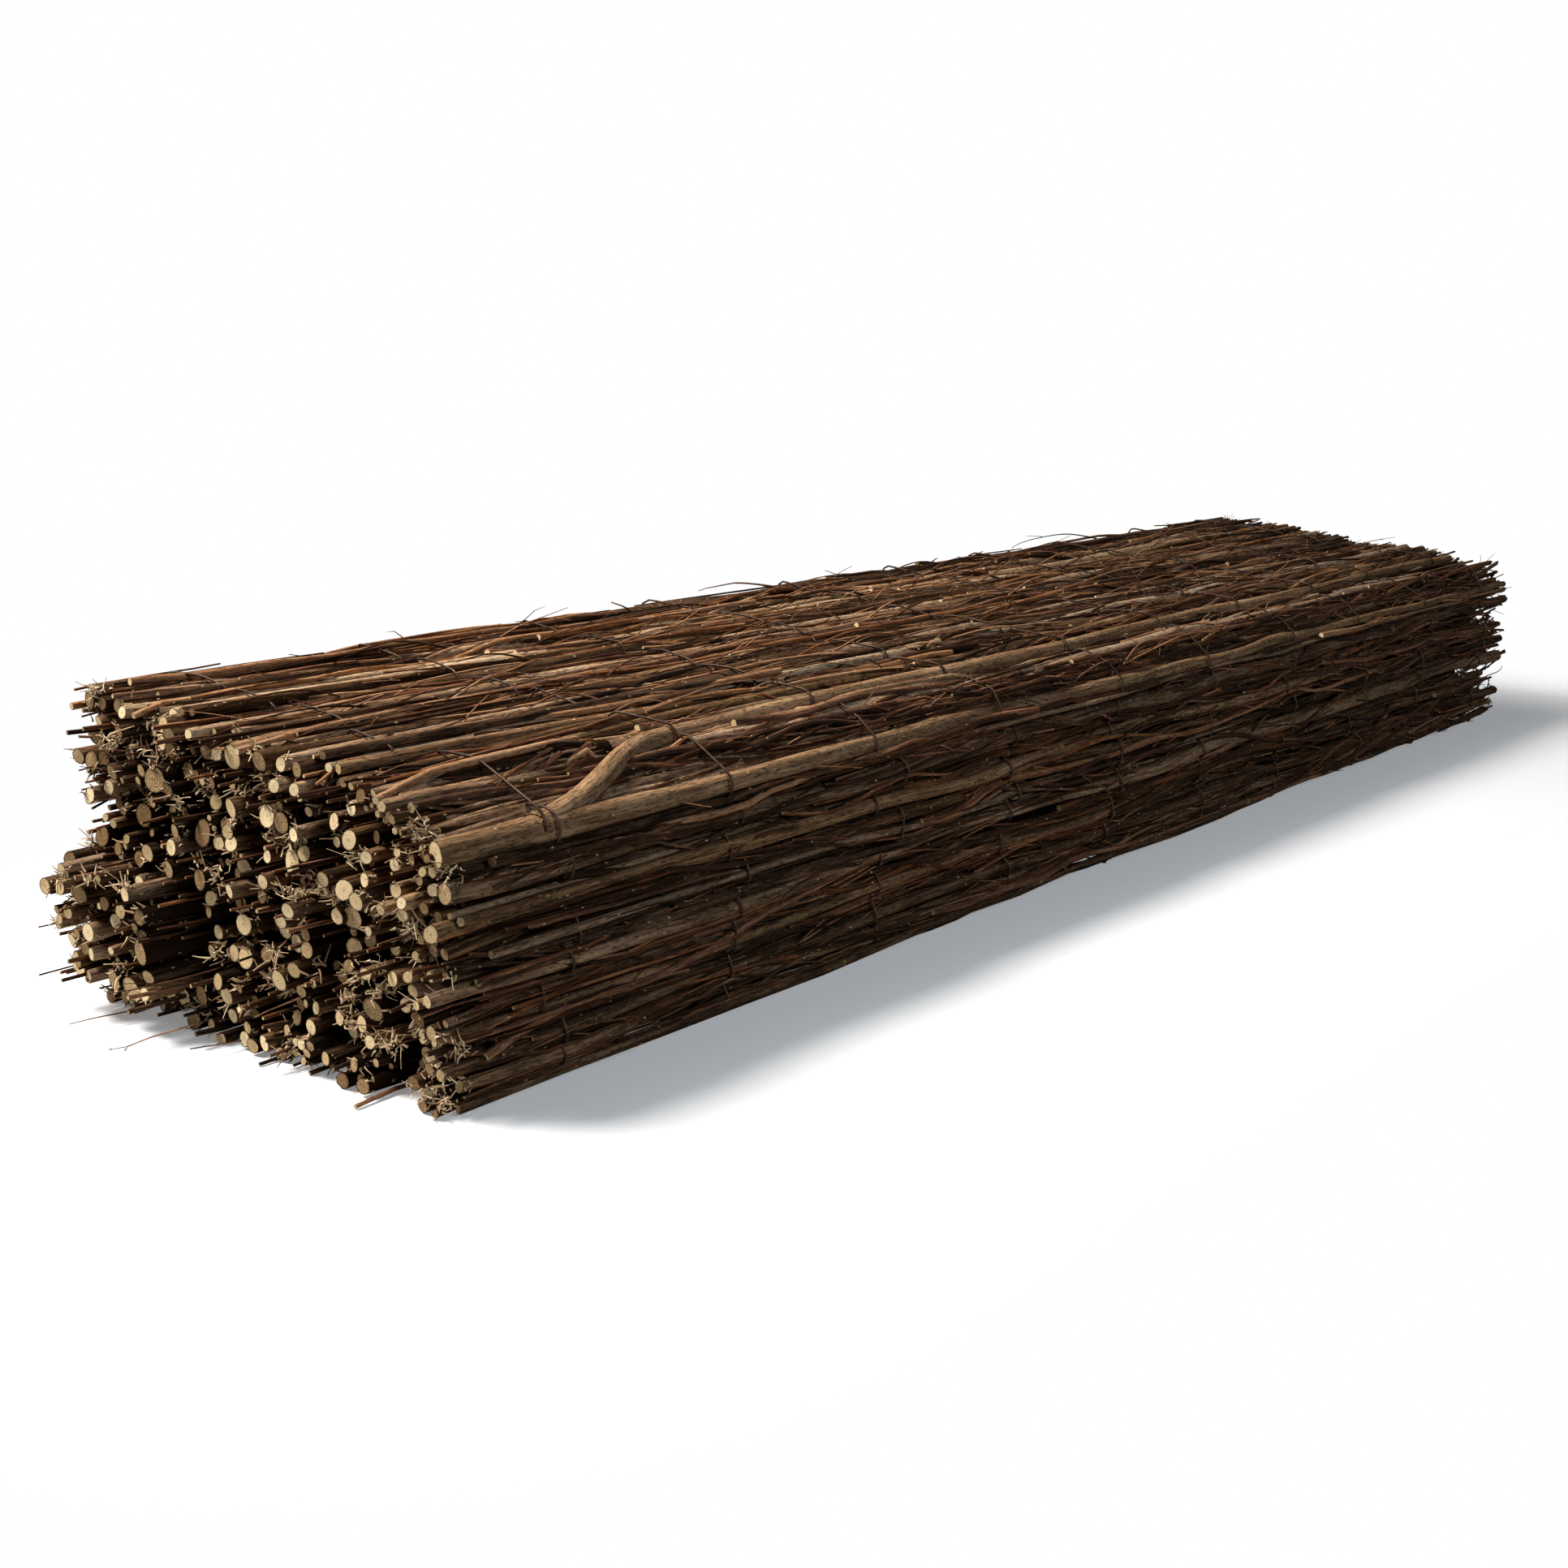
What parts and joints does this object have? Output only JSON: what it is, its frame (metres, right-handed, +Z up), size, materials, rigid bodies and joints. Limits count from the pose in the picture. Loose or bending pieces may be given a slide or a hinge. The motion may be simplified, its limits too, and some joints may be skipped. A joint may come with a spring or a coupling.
{
  "type": "heather screen fence",
  "caption": "Long block of brown heather brushwood: a screen mat of bound stems, folded flat in zigzag layers, with thin dark wire round its bunches, for unfolding along a fence.",
  "frame": {"origin": "on the ground under the middle of the folded pack", "axes": "+X along the stems away from the near end, +Y across the pack towards its higher side, +Z up"},
  "size_m": [1.534, 0.352, 0.1962],
  "materials": {
    "heather_bark": "rough brown bark",
    "binding_wire": "dark annealed wire"
  },
  "bodies": {
    "root": {"layer_1_bunch_1": "heather_bark", "layer_1_bunch_2": "heather_bark", "layer_1_bunch_3": "heather_bark", "layer_1_bunch_4": "heather_bark", "layer_1_bunch_5": "heather_bark", "layer_1_bunch_6": "heather_bark", "layer_2_bunch_1": "heather_bark", "layer_2_bunch_2": "heather_bark", "layer_2_bunch_3": "heather_bark", "layer_2_bunch_4": "heather_bark", "layer_2_bunch_5": "heather_bark", "layer_2_bunch_6": "heather_bark", "layer_3_bunch_1": "heather_bark", "layer_3_bunch_2": "heather_bark", "layer_3_bunch_3": "heather_bark", "layer_3_bunch_4": "heather_bark", "layer_3_bunch_5": "heather_bark", "layer_3_bunch_6": "heather_bark", "layer_4_bunch_1": "heather_bark", "layer_4_bunch_2": "heather_bark", "layer_4_bunch_3": "heather_bark", "layer_4_bunch_4": "heather_bark", "layer_4_bunch_5": "heather_bark", "layer_4_bunch_6": "heather_bark", "layer_5_bunch_1": "heather_bark", "layer_5_bunch_2": "heather_bark", "layer_5_bunch_3": "heather_bark", "layer_5_bunch_4": "heather_bark", "layer_5_bunch_5": "heather_bark", "layer_5_bunch_6": "heather_bark", "layer_6_bunch_1": "heather_bark", "layer_6_bunch_2": "heather_bark", "layer_6_bunch_3": "heather_bark", "layer_6_bunch_4": "heather_bark", "layer_6_bunch_5": "heather_bark", "layer_6_bunch_6": "heather_bark", "layer_7_bunch_1": "heather_bark", "layer_7_bunch_2": "heather_bark", "layer_7_bunch_3": "heather_bark", "layer_7_bunch_4": "heather_bark", "layer_7_bunch_5": "heather_bark", "layer_7_bunch_6": "heather_bark", "layer_8_bunch_1": "heather_bark", "layer_8_bunch_2": "heather_bark", "layer_8_bunch_3": "heather_bark", "layer_8_bunch_4": "heather_bark", "layer_8_bunch_5": "heather_bark", "layer_8_bunch_6": "heather_bark", "forked_branch": "heather_bark", "binding_wire_1": "binding_wire", "binding_wire_2": "binding_wire", "binding_wire_3": "binding_wire", "binding_wire_4": "binding_wire", "binding_wire_5": "binding_wire", "binding_wire_6": "binding_wire", "binding_wire_7": "binding_wire", "binding_wire_8": "binding_wire", "binding_wire_9": "binding_wire", "binding_wire_10": "binding_wire"}
  },
  "joints": []
}
